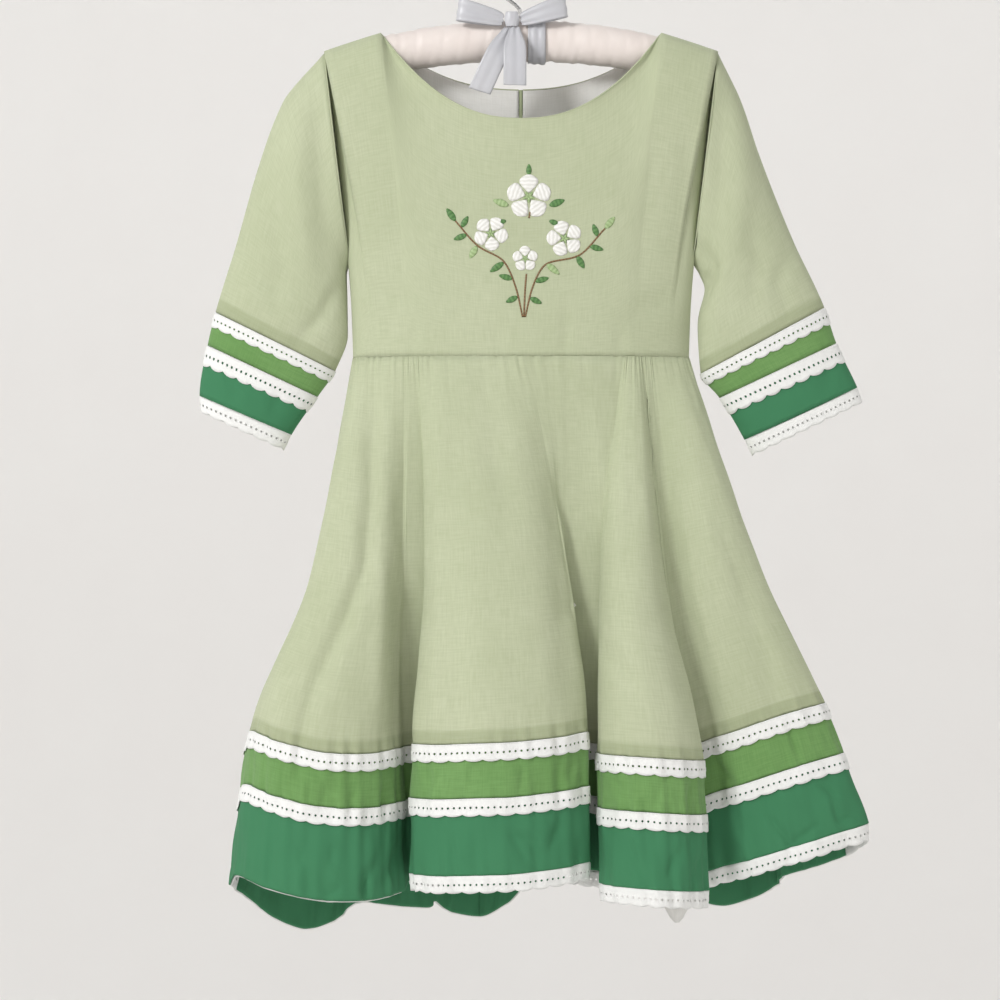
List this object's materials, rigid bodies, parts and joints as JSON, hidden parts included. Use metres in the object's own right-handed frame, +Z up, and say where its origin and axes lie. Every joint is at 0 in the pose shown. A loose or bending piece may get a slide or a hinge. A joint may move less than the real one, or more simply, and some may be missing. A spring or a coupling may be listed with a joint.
{
  "type": "girl's dress on a padded hanger",
  "caption": "Girl's sage green twirl dress with three-quarter sleeves, deep folds, green hem bands and white lace, hung on a padded satin hanger tied with a ribbon bow.",
  "frame": {"origin": "inside the crook of the hanger's hook, where a rail carries it", "axes": "+Z up, -Y the dress's front, +X the viewer's right"},
  "size_m": [0.5327, 0.1443, 0.7903],
  "materials": {
    "sage_cotton": "matt cotton lawn",
    "leaf_cotton": "matt cotton",
    "emerald_cotton": "matt cotton",
    "lace": "eyelet cotton lace",
    "lining": "matt cotton",
    "zip_chain": "nylon coil",
    "padding_satin": "satin",
    "ribbon": "satin",
    "steel": "bright wire"
  },
  "bodies": {
    "dress": {"bodice_back_left": "sage_cotton", "bodice_back_right": "sage_cotton", "bodice_front": "sage_cotton", "bow_knot": "ribbon", "bow_loop_left": "ribbon", "bow_loop_right": "ribbon", "bow_tail_left": "ribbon", "bow_tail_right": "ribbon", "bow_wrap": "ribbon", "hanger_hook": "steel", "hanger_pad": "padding_satin", "neck_facing_back_left": "lining", "neck_facing_back_right": "lining", "skirt_back_left": "sage_cotton", "skirt_back_right": "sage_cotton", "skirt_band_lower_back_left": "emerald_cotton", "skirt_band_lower_back_right": "emerald_cotton", "skirt_band_lower_front": "emerald_cotton", "skirt_band_upper_back_left": "leaf_cotton", "skirt_band_upper_back_right": "leaf_cotton", "skirt_band_upper_front": "leaf_cotton", "skirt_front": "sage_cotton", "skirt_lace_hem_back_left": "lace", "skirt_lace_hem_back_right": "lace", "skirt_lace_hem_front": "lace", "skirt_lace_middle_back_left": "lace", "skirt_lace_middle_back_right": "lace", "skirt_lace_middle_front": "lace", "skirt_lace_upper_back_left": "lace", "skirt_lace_upper_back_right": "lace", "skirt_lace_upper_front": "lace", "skirt_lining": "lining", "sleeve_band_lower_left": "emerald_cotton", "sleeve_band_lower_right": "emerald_cotton", "sleeve_band_upper_left": "leaf_cotton", "sleeve_band_upper_right": "leaf_cotton", "sleeve_lace_hem_left": "lace", "sleeve_lace_hem_right": "lace", "sleeve_lace_lower_left": "lace", "sleeve_lace_lower_right": "lace", "sleeve_lace_upper_left": "lace", "sleeve_lace_upper_right": "lace", "sleeve_left": "sage_cotton", "sleeve_right": "sage_cotton", "zip_chain": "zip_chain", "zip_slider": "steel"},
    "pull_tab": {"zip_pull": "steel"}
  },
  "joints": [
    {"name": "pull_tab_hinge", "type": "hinge", "parent": "dress", "child": "pull_tab", "pos_m": [0, 0.0306, -0.1077], "axis": [1, 0, 0], "range_deg": [0, 150]}
  ]
}
